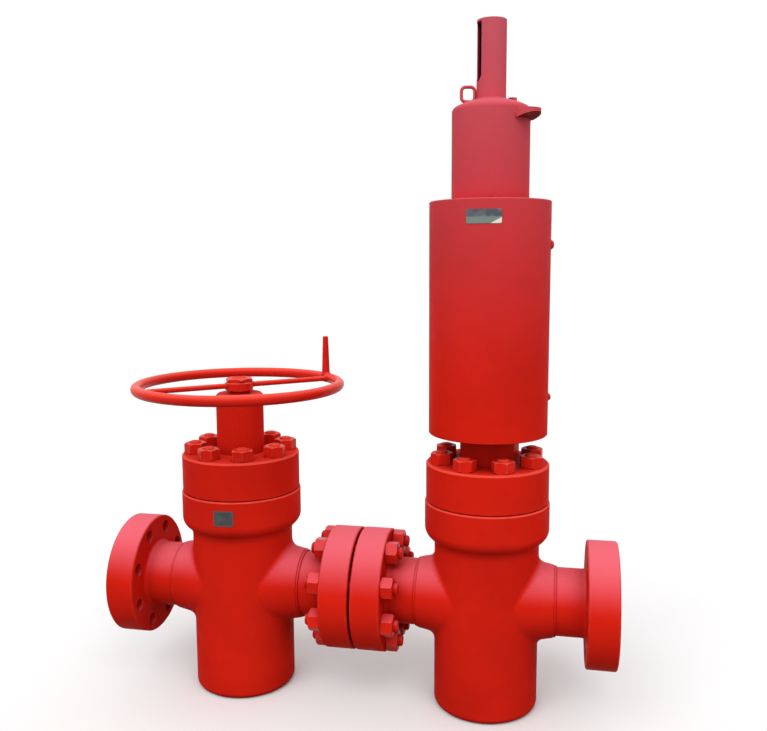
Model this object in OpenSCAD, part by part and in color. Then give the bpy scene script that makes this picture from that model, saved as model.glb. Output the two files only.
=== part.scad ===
// High pressure manifold: a hand operated gate valve and an actuated gate valve
// bolted flange to flange on one flow line. All sizes are in millimetres.
// The origin is on the floor under the bolted joint, X runs along the flow
// towards the actuated valve, Z is up.

/* [Flow line] */
// Distance between the two end faces of one valve
face_to_face = 598.4; // [580:0.2:640]
// Bore of the flow line
bore_d = 77.8; // [65:0.1:85]
// Height of the flow axis above the floor
flow_axis_z = 256; // [240:1:270]

/* [End flanges] */
// Outside diameter of an end flange
flange_od = 287.3; // [280:0.1:300]
// Thickness of an end flange with its raised face
flange_t = 71; // [62:0.5:76]
// Outside diameter of the raised face
raised_face_od = 154; // [146:1:165]
// Height of the raised face
raised_face_h = 3.2; // [2:0.1:5]
// Diameter of the bolt circle
flange_pcd = 230.1; // [226:0.1:234]
// Diameter of a bolt hole in an end flange
flange_hole_d = 31.8; // [30:0.1:33]
// Outside diameter of the neck behind an end flange
neck_d = 154; // [146:1:158]
// Outside diameter of the ring groove in the raised face
groove_od = 119; // [112:0.5:124]
// Width of the ring groove
groove_w = 12; // [9:0.5:14]
// Depth of the ring groove
groove_depth = 7.5; // [5:0.5:9]

/* [Flange bolting] */
// Studs in one flange joint
bolt_count = 8; // [4:2:8]
// Diameter of a stud in the flange joint
joint_stud_d = 28.6; // [26:0.1:29]
// Width across flats of a nut in the flange joint
joint_nut_af = 46; // [42:0.5:50]
// Height of a nut in the flange joint
joint_nut_h = 28; // [24:0.5:32]
// Length of a stud that stands out of its nut
joint_stud_end = 10; // [4:1:16]

/* [Valve bodies] */
// Height of a valve body from the floor to its bonnet joint
body_h = 489.5; // [480:0.5:510]
// Diameter of the body barrel
barrel_d = 241; // [234:1:248]
// Rounding of the barrel's lower edge
foot_round = 14; // [6:1:20]
// Diameter of the flange on top of the body
body_flange_d = 286; // [280:1:296]
// Height of the straight rim of that flange
body_flange_h = 62; // [54:1:70]
// Height of the flare from the barrel out to that flange
flare_h = 46; // [36:1:50]
// Diameter of a flow hub where it leaves the barrel
hub_root_d = 178; // [172:1:182]
// Diameter of a flow hub at its weld
hub_end_d = 163; // [160:1:168]
// Radius of the forged blend between a flow hub and the barrel
blend_r = 23; // [14:1:28]
// Distance from the valve axis to the end of a flow hub
hub_reach = 158; // [150:1:166]

/* [Bonnets] */
// Diameter of a bonnet
bonnet_d = 281; // [274:1:284]
// Height of a bonnet
bonnet_h = 90.5; // [80:0.5:100]
// Studs round a bonnet
bonnet_bolt_count = 8; // [6:1:8]
// Diameter of the bonnet's bolt circle
bonnet_pcd = 216; // [208:1:218]
// Diameter of a bonnet stud
bonnet_stud_d = 28.6; // [25:0.1:30]
// Width across flats of a bonnet nut
bonnet_nut_af = 46; // [42:0.5:50]
// Height of a bonnet nut
bonnet_nut_h = 25.5; // [22:0.5:30]
// Length of a bonnet stud that stands out of its nut
bonnet_stud_end = 4; // [4:1:18]
// Depth of a bonnet stud in the body
bonnet_stud_depth = 45; // [30:1:52]

/* [Handwheel] */
// Diameter of the bearing column that carries the stem
column_d = 113.4; // [104:0.2:120]
// Height of the bearing column
column_h = 143; // [120:1:170]
// Diameter of the stem in the column
stem_d = 48; // [40:1:52]
// Depth of the stem in the column
stem_depth = 90; // [50:1:110]
// Diameter of the stem's threaded end
stem_thread_d = 36; // [28:1:38]
// Free height between the column and the handwheel hub
wheel_clear = 6; // [5:0.5:12]
// Outside diameter of the handwheel
wheel_od = 506; // [440:2:520]
// Diameter of the handwheel's rim bar
rim_bar_d = 25; // [22:0.5:28]
// Diameter of the handwheel hub
wheel_hub_d = 66; // [60:1:72]
// Height of the handwheel hub
wheel_hub_h = 21; // [18:0.5:26]
// Diameter of a spoke
spoke_d = 13; // [10:0.5:15]
// Turn of the spokes from the flow axis, in degrees
spoke_turn = 40; // [0:1:60]
// Width across flats of the handwheel nut
wheel_nut_af = 59; // [52:0.5:62]
// Height of the handwheel nut
wheel_nut_h = 9.5; // [8:0.5:18]
// Height of the crank handle above the rim bar
handle_h = 94; // [70:1:120]
// Diameter of the crank handle at its foot
handle_foot_d = 21; // [16:0.5:22]
// Diameter of the crank handle at its end
handle_end_d = 14; // [10:0.5:16]
// Turn of the crank handle from the flow axis, in degrees
handle_turn = 45; // [34:1:70]

/* [Actuator] */
// Diameter of the neck between bonnet and actuator
act_neck_d = 125; // [110:1:136]
// Height of that neck
act_neck_h = 67; // [62:1:90]
// Diameter of the spring cylinder
cylinder_d = 269; // [250:1:280]
// Height of the spring cylinder
cylinder_h = 519; // [460:1:560]
// Diameter of the upper housing
housing_d = 171; // [160:1:184]
// Height of the upper housing with its dished top
housing_h = 218.5; // [200:0.5:250]
// Radius of the dished top
dish_r = 175; // [160:1:200]
// Radius of the knuckle between wall and dished top
knuckle_r = 12; // [8:1:18]
// Diameter of the stem protector
protector_d = 64.6; // [60:0.2:70]
// Height of the stem protector
protector_h = 166.5; // [130:0.5:180]
// Wall of the stem protector
protector_wall = 5; // [4:0.5:7]
// Width of the window in the stem protector
window_w = 33; // [22:1:36]
// Height of the window's lower end above the dished top
window_sill = 35.5; // [34:0.5:44]
// Turn of the window from the flow axis towards the front, in degrees
window_turn = 21; // [0:1:45]

/* [Actuator fittings] */
// Bar diameter of the lifting link
link_bar_d = 7; // [6:0.5:9]
// Outside width of the lifting link
link_w = 36; // [34:1:40]
// Outside height of the lifting link
link_h = 38; // [36:1:44]
// Bend radius of the lifting link, to the middle of its bar
link_bend_r = 9; // [7:0.5:11]
// Turn of the lifting link from the flow axis towards the front, in degrees
link_turn = 12; // [0:1:20]
// Distance from the actuator axis to the end of the lifting lug
lug_reach = 119; // [108:1:130]
// Diameter of the lifting lug's round end
lug_w = 64; // [58:1:76]
// Thickness of the lifting lug at its root
lug_root_t = 19; // [14:1:30]
// Thickness of the lifting lug at its end
lug_end_t = 8; // [5:1:12]
// Turn of the lifting lug from the flow axis towards the front, in degrees
lug_turn = 28; // [0:1:50]
// Diameter of the upper port plug
upper_plug_d = 22; // [16:1:28]
// Diameter of the lower port plug
lower_plug_d = 18; // [14:1:24]
// Height of the upper port plug above the cylinder's foot
upper_plug_z = 424; // [380:1:440]
// Height of the lower port plug above the cylinder's foot
lower_plug_z = 86; // [40:1:120]
// Width across flats of the bleed plug on the cylinder
side_bleed_af = 13; // [10:0.5:18]
// Width across flats of the bleed plug on the dished top
top_bleed_af = 19; // [14:0.5:22]

/* [Hidden] */
full_turn = 360;
half_turn = 180;
quarter_turn = 90;
hex_sides = 6;
hex_corner = full_turn / (2 * hex_sides);
paint = "#c4160f";
$fn = 96;
arc_steps = 10;
// clearance round screwed pieces, pieces that turn and pieces that seat
thread_gap = 0.2;
run_gap = 0.08;
seat_gap = 0.3;
// distance by which every cut runs past its piece
overrun = 2;
// edges, fillets and plug heads
flange_edge = 2.5;
neck_fillet = 9;
hub_edge = 3;
body_edge = 2.5;
bonnet_edge = 4;
column_edge = 5;
hub_rim_edge = 2;
cylinder_edge = 1.5;
stud_edge = 3.5;
stud_hole_gap = 1.6;
blend_sink = 1;
blend_bury_share = 0.86;
blend_turns = 48;
blend_steps = 6;
blend_skip = 11;
link_sink = 7;
lug_drop = 29;
lug_bury = 30;
plug_head_share = 0.3;
plug_shank_share = 0.7;
plug_depth = 14;
side_bleed_h = 7;
side_bleed_r = 100;
side_bleed_turn = -79;
top_bleed_r = 54;
top_bleed_turn = 34;
top_bleed_bury = 16;
top_bleed_rise = 8;
handle_end_round = 4;
nut_face_share = 0.96;
groove_slope_share = 0.42;

// positions along the flow line and up each valve
valve_x = face_to_face / 2;
end_x = face_to_face;
flange_reach = valve_x - hub_reach;
bore_r = bore_d / 2;
barrel_r = barrel_d / 2;
body_flange_r = body_flange_d / 2;
flare_top_z = body_h - body_flange_h;
flare_foot_z = flare_top_z - flare_h;
flare_turn = 2 * atan((body_flange_r - barrel_r) / flare_h);
flare_r = flare_h / (2 * sin(flare_turn));
hub_root_r = hub_root_d / 2;
hub_end_r = hub_end_d / 2;
// fall of the hub's wall along the flow, and its radius carried back to the valve axis
hub_slope = (hub_root_r - hub_end_r) / (hub_reach - barrel_r);
hub_draft = atan(hub_slope);
hub_axis_r = hub_root_r + barrel_r * hub_slope;
// the blend ends before the edge of the hub
roll_r = min(blend_r, (hub_reach - hub_edge - barrel_r) / (1 + 2 * sin(blend_skip)));
bonnet_top_z = body_h + bonnet_h;
column_top_z = bonnet_top_z + column_h;
wheel_hub_z = column_top_z + wheel_clear;
wheel_z = wheel_hub_z + wheel_hub_h - hub_rim_edge - spoke_d / 2;
wheel_nut_z = wheel_hub_z + wheel_hub_h;
rim_r = (wheel_od - rim_bar_d) / 2;
cylinder_z = bonnet_top_z + act_neck_h;
housing_z = cylinder_z + cylinder_h;
housing_r = housing_d / 2;
dish_flat_r = protector_d / 2 + thread_gap;
dish_centre_z = housing_h - sqrt(pow(dish_r, 2) - pow(dish_flat_r, 2));
knuckle_turn = acos((housing_r - knuckle_r) / (dish_r - knuckle_r));
knuckle_z = dish_centre_z + (dish_r - knuckle_r) * sin(knuckle_turn);
protector_z = housing_z + housing_h;
window_rise = protector_h - protector_wall - window_sill - window_w / 2;
link_span = link_w - link_bar_d - 2 * link_bend_r;
link_rise = link_h - link_bar_d - 2 * link_bend_r;
link_x = protector_d / 2 + seat_gap + link_w / 2;
cylinder_r = cylinder_d / 2;

// points of an arc in a profile, from one angle to another
function arc(centre, r, from, to) =
  [for (i = [0:arc_steps]) let (a = from + (to - from) * i / arc_steps)
    [centre[0] + r * cos(a), centre[1] + r * sin(a)]];

// profile of a disc with broken edges
function disc_profile(r, h, edge) =
  [[0, 0], [r - edge, 0], [r, edge], [r, h - edge], [r - edge, h], [0, h]];

// barrel with a rounded foot that flares out to the bonnet flange
function body_profile() = concat(
  [[0, 0]],
  arc([barrel_r - foot_round, foot_round], foot_round, -quarter_turn, 0),
  arc([barrel_r + flare_r, flare_foot_z], flare_r, half_turn, half_turn - flare_turn),
  arc([body_flange_r - flare_r, flare_top_z], flare_r, -flare_turn, 0),
  [[body_flange_r, body_h - body_edge], [body_flange_r - body_edge, body_h], [0, body_h]]);

// one section of the blend, cut by a ball rolling in the corner of tapered hub and barrel;
// both ends run on into the metal, and the last point lies deep inside it
function blend_section(turn) =
  let (
    ball_reach = barrel_r + roll_r,
    ball_axis_r = hub_axis_r + roll_r / cos(hub_draft),
    level = pow(cos(turn), 2),
    spread = 1 + pow(hub_slope, 2) * level,
    lean = ball_axis_r * hub_slope * level,
    room = spread * (pow(ball_reach, 2) - pow(ball_axis_r, 2) * level),
    axis_x = (lean + sqrt(pow(lean, 2) + room)) / spread,
    axis_r = ball_axis_r - axis_x * hub_slope,
    centre = [axis_x, axis_r * cos(turn), axis_r * sin(turn)],
    to_hub = -[sin(hub_draft), cos(hub_draft) * cos(turn), cos(hub_draft) * sin(turn)],
    to_barrel = -[centre[0], centre[1], 0] / ball_reach,
    opening = acos(to_hub * to_barrel),
    across = (to_barrel - to_hub * cos(opening)) / sin(opening),
    rolled = [for (i = [0:blend_steps])
      let (a = blend_skip + (opening - 2 * blend_skip) * i / blend_steps)
        centre + roll_r * (to_hub * cos(a) + across * sin(a))],
    run = 2 * roll_r * sin(blend_skip),
    outer = centre + to_hub * (roll_r + blend_sink) - across * run,
    last_a = opening + blend_skip,
    inner = centre + (roll_r + blend_sink) * (to_hub * cos(last_a) + across * sin(last_a)),
    deep = [inner[0], hub_root_r * cos(turn), hub_root_r * sin(turn)] * blend_bury_share)
  concat([outer], rolled, [inner, deep]);

// weld neck flange from its raised face back to the weld
function flange_profile() = concat(
  [[bore_r, 0], [raised_face_od / 2, 0], [raised_face_od / 2, raised_face_h],
    [flange_od / 2 - flange_edge, raised_face_h], [flange_od / 2, raised_face_h + flange_edge],
    [flange_od / 2, flange_t - flange_edge], [flange_od / 2 - flange_edge, flange_t]],
  arc([neck_d / 2 + neck_fillet, flange_t + neck_fillet], neck_fillet, -quarter_turn, -half_turn),
  [[neck_d / 2, flange_reach], [bore_r, flange_reach]]);

// straight wall, knuckle and dished top with a flat for the stem protector
function housing_profile() = concat(
  [[0, 0], [housing_r, 0]],
  arc([housing_r - knuckle_r, knuckle_z], knuckle_r, 0, knuckle_turn),
  arc([0, dish_centre_z], dish_r, knuckle_turn, acos(dish_flat_r / dish_r)),
  [[0, housing_h]]);

module bolt_circle(pcd, count) {
  for (i = [0:count - 1])
    rotate([0, 0, (i + 1 / 2) * full_turn / count])
      translate([pcd / 2, 0, 0])
        children();
}

module stud(d, length) {
  rotate_extrude()
    polygon(disc_profile(d / 2, length, stud_edge));
}

module hex_nut(af, h, hole_d) {
  corner_r = af / (2 * cos(hex_corner));
  face_r = af * nut_face_share / 2;
  bevel = (corner_r - face_r) * tan(hex_corner);
  difference() {
    intersection() {
      cylinder(r = corner_r, h = h, $fn = hex_sides);
      rotate_extrude()
        polygon([[0, 0], [face_r, 0], [corner_r, bevel], [corner_r, h - bevel], [face_r, h], [0, h]]);
    }
    translate([0, 0, -overrun])
      cylinder(d = hole_d, h = h + 2 * overrun);
  }
}

// ring of metal that fills the corner between hub and barrel
module hub_blend() {
  sections = [for (i = [0:blend_turns - 1]) blend_section(full_turn * i / blend_turns)];
  count = len(sections[0]);
  points = [for (section = sections) for (point = section) point];
  faces = [for (i = [0:blend_turns - 1]) for (k = [0:count - 1])
    let (
      a = i * count + k,
      b = i * count + (k + 1) % count,
      c = ((i + 1) % blend_turns) * count + (k + 1) % count,
      d = ((i + 1) % blend_turns) * count + k)
    each [[a, c, b], [a, d, c]]];
  polyhedron(points = points, faces = faces);
}

module flow_hub() {
  rotate([0, quarter_turn, 0])
    rotate_extrude()
      polygon([[0, 0], [hub_axis_r, 0], [hub_end_r + hub_edge * hub_slope, hub_reach - hub_edge],
        [hub_end_r - hub_edge, hub_reach], [0, hub_reach]]);
  hub_blend();
}

module valve_body() {
  difference() {
    union() {
      rotate_extrude()
        polygon(body_profile());
      for (side = [-1, 1])
        translate([0, 0, flow_axis_z])
          rotate([0, 0, side * quarter_turn - quarter_turn])
            flow_hub();
    }
    translate([-hub_reach - overrun, 0, flow_axis_z])
      rotate([0, quarter_turn, 0])
        cylinder(d = bore_d, h = 2 * (hub_reach + overrun));
    translate([0, 0, body_h - bonnet_stud_depth])
      bolt_circle(bonnet_pcd, bonnet_bolt_count)
        cylinder(d = bonnet_stud_d + 2 * thread_gap, h = bonnet_stud_depth + overrun);
  }
}

module end_flange() {
  difference() {
    rotate_extrude()
      polygon(flange_profile());
    rotate_extrude()
      polygon([[groove_od / 2 - groove_w, -overrun], [groove_od / 2, -overrun], [groove_od / 2, 0],
        [groove_od / 2 - groove_depth * groove_slope_share, groove_depth],
        [groove_od / 2 - groove_w + groove_depth * groove_slope_share, groove_depth],
        [groove_od / 2 - groove_w, 0]]);
    translate([0, 0, raised_face_h - overrun])
      bolt_circle(flange_pcd, bolt_count)
        cylinder(d = flange_hole_d, h = flange_t + overrun);
  }
}

module bonnet() {
  difference() {
    rotate_extrude()
      polygon(disc_profile(bonnet_d / 2, bonnet_h, bonnet_edge));
    translate([0, 0, -overrun])
      bolt_circle(bonnet_pcd, bonnet_bolt_count)
        cylinder(d = bonnet_stud_d + 2 * stud_hole_gap, h = bonnet_h + 2 * overrun);
  }
}

module bonnet_studs() {
  translate([0, 0, body_h - bonnet_stud_depth])
    bolt_circle(bonnet_pcd, bonnet_bolt_count)
      stud(bonnet_stud_d, bonnet_stud_depth + bonnet_h + bonnet_nut_h + bonnet_stud_end);
}

module bonnet_nuts() {
  translate([0, 0, bonnet_top_z])
    bolt_circle(bonnet_pcd, bonnet_bolt_count)
      hex_nut(bonnet_nut_af, bonnet_nut_h, bonnet_stud_d + 2 * thread_gap);
}

module joint_nuts() {
  translate([0, 0, flange_t])
    bolt_circle(flange_pcd, bolt_count)
      hex_nut(joint_nut_af, joint_nut_h, joint_stud_d + 2 * thread_gap);
}

module at_manual_valve() {
  translate([-valve_x, 0, 0])
    children();
}

module at_actuated_valve() {
  translate([valve_x, 0, 0])
    children();
}

module manual_valve_body() {
  color(paint)
    at_manual_valve()
      valve_body();
}

module manual_end_flange() {
  color(paint)
    translate([-end_x, 0, flow_axis_z])
      rotate([0, quarter_turn, 0])
        end_flange();
}

module manual_joint_flange() {
  color(paint)
    translate([0, 0, flow_axis_z])
      rotate([0, -quarter_turn, 0])
        end_flange();
}

module manual_bonnet() {
  color(paint)
    at_manual_valve()
      translate([0, 0, body_h])
        bonnet();
}

module manual_bonnet_studs() {
  color(paint)
    at_manual_valve()
      bonnet_studs();
}

module manual_bonnet_nuts() {
  color(paint)
    at_manual_valve()
      bonnet_nuts();
}

// plain column on the bonnet, bored for the stem
module bearing_column() {
  color(paint)
    at_manual_valve()
      translate([0, 0, bonnet_top_z])
        difference() {
          rotate_extrude()
            polygon([[0, 0], [column_d / 2, 0], [column_d / 2, column_h - column_edge],
              [column_d / 2 - column_edge, column_h], [0, column_h]]);
          translate([0, 0, column_h - stem_depth])
            cylinder(d = stem_d + 2 * run_gap, h = stem_depth + overrun);
        }
}

// stem that turns in the column, with a threaded end for the handwheel nut
module handwheel_stem() {
  journal_h = stem_depth - seat_gap + wheel_clear + wheel_hub_h;
  color(paint)
    at_manual_valve()
      translate([0, 0, column_top_z - stem_depth + seat_gap]) {
        cylinder(d = stem_d, h = journal_h);
        translate([0, 0, journal_h])
          stud(stem_thread_d, wheel_nut_h + hub_rim_edge);
      }
}

module handwheel_hub() {
  color(paint)
    at_manual_valve()
      translate([0, 0, wheel_hub_z])
        difference() {
          rotate_extrude()
            polygon(disc_profile(wheel_hub_d / 2, wheel_hub_h, hub_rim_edge));
          translate([0, 0, -overrun])
            cylinder(d = stem_d + 2 * thread_gap, h = wheel_hub_h + 2 * overrun);
        }
}

module rim_shape(extra) {
  rotate_extrude()
    translate([rim_r, 0])
      circle(d = rim_bar_d + 2 * extra);
}

module handwheel_rim() {
  color(paint)
    at_manual_valve()
      translate([0, 0, wheel_z])
        rim_shape(0);
}

// one bar each side of the hub, cut to the hub and to the rim bar
module handwheel_spokes() {
  color(paint)
    at_manual_valve()
      translate([0, 0, wheel_z])
        for (side = [0, half_turn])
          rotate([0, 0, spoke_turn + side])
            difference() {
              rotate([0, quarter_turn, 0])
                cylinder(d = spoke_d, h = rim_r);
              translate([0, 0, -wheel_hub_h])
                cylinder(d = wheel_hub_d + 2 * thread_gap, h = 2 * wheel_hub_h);
              rim_shape(thread_gap);
            }
}

module handwheel_nut() {
  color(paint)
    at_manual_valve()
      translate([0, 0, wheel_nut_z])
        hex_nut(wheel_nut_af, wheel_nut_h, stem_thread_d + 2 * thread_gap);
}

// tapered handle on top of the rim bar with a rounded end
module crank_handle() {
  color(paint)
    at_manual_valve()
      translate([0, 0, wheel_z])
        difference() {
          rotate([0, 0, handle_turn])
            translate([rim_r, 0, 0])
              rotate_extrude()
                polygon(concat(
                  [[0, 0], [handle_foot_d / 2, 0]],
                  arc([handle_end_d / 2 - handle_end_round, handle_h + rim_bar_d / 2 - handle_end_round],
                    handle_end_round, 0, quarter_turn),
                  [[0, handle_h + rim_bar_d / 2]]));
          rim_shape(thread_gap);
        }
}

module joint_studs() {
  stud_l = 2 * (flange_t + joint_nut_h + joint_stud_end);
  color(paint)
    translate([-stud_l / 2, 0, flow_axis_z])
      rotate([0, quarter_turn, 0])
        bolt_circle(flange_pcd, bolt_count)
          stud(joint_stud_d, stud_l);
}

module joint_nuts_manual_side() {
  color(paint)
    translate([0, 0, flow_axis_z])
      rotate([0, -quarter_turn, 0])
        joint_nuts();
}

module joint_nuts_actuated_side() {
  color(paint)
    translate([0, 0, flow_axis_z])
      rotate([0, quarter_turn, 0])
        joint_nuts();
}

module actuated_valve_body() {
  color(paint)
    at_actuated_valve()
      valve_body();
}

module actuated_joint_flange() {
  color(paint)
    translate([0, 0, flow_axis_z])
      rotate([0, quarter_turn, 0])
        end_flange();
}

module actuated_end_flange() {
  color(paint)
    translate([end_x, 0, flow_axis_z])
      rotate([0, -quarter_turn, 0])
        end_flange();
}

module actuated_bonnet() {
  color(paint)
    at_actuated_valve()
      translate([0, 0, body_h])
        bonnet();
}

module actuated_bonnet_studs() {
  color(paint)
    at_actuated_valve()
      bonnet_studs();
}

module actuated_bonnet_nuts() {
  color(paint)
    at_actuated_valve()
      bonnet_nuts();
}

module actuator_neck() {
  color(paint)
    at_actuated_valve()
      translate([0, 0, bonnet_top_z])
        cylinder(d = act_neck_d, h = act_neck_h);
}

module plug_port(d, z) {
  translate([0, 0, z])
    rotate([0, quarter_turn, 0])
      translate([0, 0, cylinder_r - plug_depth])
        cylinder(d = d * plug_shank_share + 2 * thread_gap, h = plug_depth + overrun);
}

// closed cylinder with two tapped ports in its side
module spring_cylinder() {
  color(paint)
    at_actuated_valve()
      translate([0, 0, cylinder_z])
        difference() {
          rotate_extrude()
            polygon(disc_profile(cylinder_r, cylinder_h, cylinder_edge));
          plug_port(upper_plug_d, upper_plug_z);
          plug_port(lower_plug_d, lower_plug_z);
        }
}

module upper_housing_shape() {
  translate([0, 0, housing_z])
    rotate_extrude()
      polygon(housing_profile());
}

module upper_housing() {
  color(paint)
    at_actuated_valve()
      upper_housing_shape();
}

// closed tube with a window that ends below its cap
module stem_protector() {
  color(paint)
    at_actuated_valve()
      translate([0, 0, protector_z])
        difference() {
          cylinder(d = protector_d, h = protector_h);
          translate([0, 0, -overrun])
            cylinder(d = protector_d - 2 * protector_wall, h = protector_h - protector_wall + overrun);
          rotate([0, 0, half_turn + window_turn])
            translate([0, 0, window_sill + window_w / 2]) {
              rotate([0, quarter_turn, 0])
                cylinder(d = window_w, h = protector_d);
              translate([0, -window_w / 2, 0])
                cube([protector_d, window_w, window_rise]);
            }
        }
}

module link_bend() {
  rotate_extrude(angle = quarter_turn)
    translate([link_bend_r, 0])
      circle(d = link_bar_d);
}

// bar bent to a square link with round corners, standing on the dished top beside the protector
module lifting_link() {
  color(paint)
    at_actuated_valve()
      difference() {
        rotate([0, 0, half_turn + link_turn])
          translate([link_x, 0, protector_z - link_sink + link_h / 2])
            rotate([quarter_turn, 0, 0])
              for (turn = [0, half_turn])
                rotate([0, 0, turn]) {
                  translate([link_span / 2, link_rise / 2, 0])
                    link_bend();
                  translate([-link_span / 2, link_rise / 2, 0])
                    rotate([0, 0, quarter_turn])
                      link_bend();
                  translate([link_span / 2 + link_bend_r, link_rise / 2, 0])
                    rotate([quarter_turn, 0, 0])
                      cylinder(d = link_bar_d, h = link_rise);
                  translate([-link_span / 2, link_rise / 2 + link_bend_r, 0])
                    rotate([0, quarter_turn, 0])
                      cylinder(d = link_bar_d, h = link_span);
                }
        upper_housing_shape();
      }
}

// thick ear on the shoulder, round in plan and thinned from below
module lifting_lug() {
  inner_r = housing_r - lug_bury;
  color(paint)
    at_actuated_valve()
      difference() {
        rotate([0, 0, -lug_turn])
          translate([0, 0, protector_z - lug_drop])
            intersection() {
              translate([0, lug_w / 2, 0])
                rotate([quarter_turn, 0, 0])
                  linear_extrude(height = lug_w)
                    polygon([[inner_r, 0], [lug_reach, 0], [lug_reach, -lug_end_t],
                      [housing_r, -lug_root_t], [inner_r, -lug_root_t]]);
              translate([lug_reach - lug_w / 2, 0, -lug_root_t - overrun])
                cylinder(d = lug_w, h = lug_root_t + 2 * overrun);
            }
        upper_housing_shape();
      }
}

// plug with a domed head, its shank screwed into the side of the cylinder
module port_plug(d, z) {
  head_x = cylinder_r + thread_gap;
  head_h = d * plug_head_share;
  dome_r = (pow(d / 2, 2) + pow(head_h, 2)) / (2 * head_h);
  shank_r = d * plug_shank_share / 2;
  at_actuated_valve()
    translate([0, 0, cylinder_z + z])
      rotate([0, quarter_turn, 0])
        rotate_extrude()
          polygon(concat(
            [[0, cylinder_r - plug_depth], [shank_r, cylinder_r - plug_depth], [shank_r, head_x]],
            arc([0, head_x + head_h - dome_r], dome_r, acos(d / (2 * dome_r)), quarter_turn)));
}

module upper_port_plug() {
  color(paint)
    port_plug(upper_plug_d, upper_plug_z);
}

module lower_port_plug() {
  color(paint)
    port_plug(lower_plug_d, lower_plug_z);
}

module hex_head(af, h) {
  cylinder(d = af / cos(hex_corner), h = h, $fn = hex_sides);
}

module cylinder_bleed_plug() {
  color(paint)
    at_actuated_valve()
      translate([0, 0, housing_z])
        rotate([0, 0, side_bleed_turn])
          translate([side_bleed_r, 0, 0])
            hex_head(side_bleed_af, side_bleed_h);
}

module housing_bleed_plug() {
  color(paint)
    at_actuated_valve()
      difference() {
        rotate([0, 0, top_bleed_turn])
          translate([top_bleed_r, 0, protector_z - top_bleed_bury])
            hex_head(top_bleed_af, top_bleed_bury + top_bleed_rise);
        upper_housing_shape();
      }
}

manual_valve_body();
manual_end_flange();
manual_joint_flange();
manual_bonnet();
manual_bonnet_studs();
manual_bonnet_nuts();
bearing_column();
handwheel_stem();
handwheel_hub();
handwheel_spokes();
handwheel_rim();
handwheel_nut();
crank_handle();
joint_studs();
joint_nuts_manual_side();
joint_nuts_actuated_side();
actuated_valve_body();
actuated_joint_flange();
actuated_end_flange();
actuated_bonnet();
actuated_bonnet_studs();
actuated_bonnet_nuts();
actuator_neck();
spring_cylinder();
upper_housing();
stem_protector();
lifting_link();
lifting_lug();
upper_port_plug();
lower_port_plug();
cylinder_bleed_plug();
housing_bleed_plug();
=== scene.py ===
"""High pressure manifold: enamel, threads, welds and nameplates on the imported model, in a studio."""

import math

import bmesh
import bpy
from bpy.props import FloatProperty, FloatVectorProperty, PointerProperty
from mathutils import Matrix, Vector


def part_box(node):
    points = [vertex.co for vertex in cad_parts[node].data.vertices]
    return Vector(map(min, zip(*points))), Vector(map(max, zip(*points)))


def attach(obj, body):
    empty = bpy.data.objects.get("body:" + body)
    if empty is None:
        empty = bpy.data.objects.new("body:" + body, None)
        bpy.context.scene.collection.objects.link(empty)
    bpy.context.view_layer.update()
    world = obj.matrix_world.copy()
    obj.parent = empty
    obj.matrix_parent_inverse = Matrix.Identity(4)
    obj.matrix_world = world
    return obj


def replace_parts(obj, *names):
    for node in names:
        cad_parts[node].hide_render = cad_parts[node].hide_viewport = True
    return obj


bl_info = {
    "name": "High Pressure Manifold",
    "version": (1, 0, 0),
    "blender": (4, 5, 0),
    "location": "View3D > Sidebar > Manifold",
    "description": "Dresses two bolted gate valves with enamel, threads, welds and nameplates",
    "category": "Object",
}

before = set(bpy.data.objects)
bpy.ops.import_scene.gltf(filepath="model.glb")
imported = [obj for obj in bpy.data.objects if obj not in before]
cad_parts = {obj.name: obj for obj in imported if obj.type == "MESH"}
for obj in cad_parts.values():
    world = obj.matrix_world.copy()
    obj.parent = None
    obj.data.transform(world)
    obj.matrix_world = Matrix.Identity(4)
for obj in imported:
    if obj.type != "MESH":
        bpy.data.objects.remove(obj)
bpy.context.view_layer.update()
MM = 0.001
BOLTS = 8

FORGINGS = ("manual_valve_body", "actuated_valve_body")
FLANGES = ("manual_end_flange", "manual_joint_flange", "actuated_joint_flange", "actuated_end_flange")
TURNED = ("manual_bonnet", "actuated_bonnet", "bearing_column", "actuator_neck", "handwheel_stem")
ACTUATOR = ("spring_cylinder", "upper_housing")
FITTINGS = ("lifting_link", "lifting_lug", "upper_port_plug", "lower_port_plug",
            "cylinder_bleed_plug", "housing_bleed_plug")
WHEEL = ("handwheel_rim", "handwheel_spokes", "handwheel_hub", "crank_handle")
UPRIGHT_NUTS = ("manual_bonnet_nuts", "actuated_bonnet_nuts", "handwheel_nut")
JOINT_NUTS = ("joint_nuts_manual_side", "joint_nuts_actuated_side")

# Each mark on the enamel starts at its first value and is full at its second. The values are those of
# a noise for coats, for rubbed stretches with a painted highlight and for overspray, of the normal's upward
# part for what faces up or down, of the open sky for shelter and painted shade, and of the likeness of flat
# and rounded wall for an edge.
COAT_SPREAD = (0.38, 0.72)
RUB_HIGHLIGHT_SPREAD = (0.38, 0.62)
DULL_SPREAD = (0.3, 0.75)
REFLECTION_FACING = (0.15, 1.0)
LEVEL_FACING = (0.9, 0.99)
UNDER_FACING = (-0.3, -0.8)
OPEN_SKY = (0.25, 0.65)
SHADE_SKY = (0.45, 0.15)
RUB_HIGHLIGHT_TURN = (0.96, 0.80)

# Full share of the painted reflection towards the actuator's top and of the painted shade, share of a body's
# half height above which its painted highlight is warmer, what overspray takes from the roughness or adds to
# it, and the roughness of bare steel
TOP_REFLECTION_SHARE = 1.1
SHADE_SHARE = 0.6
WARM_HIGHLIGHT_SHARE = 0.7
DULL_RANGE = (-0.05, 0.10)
BARE_ROUGHNESS = 0.32
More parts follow.
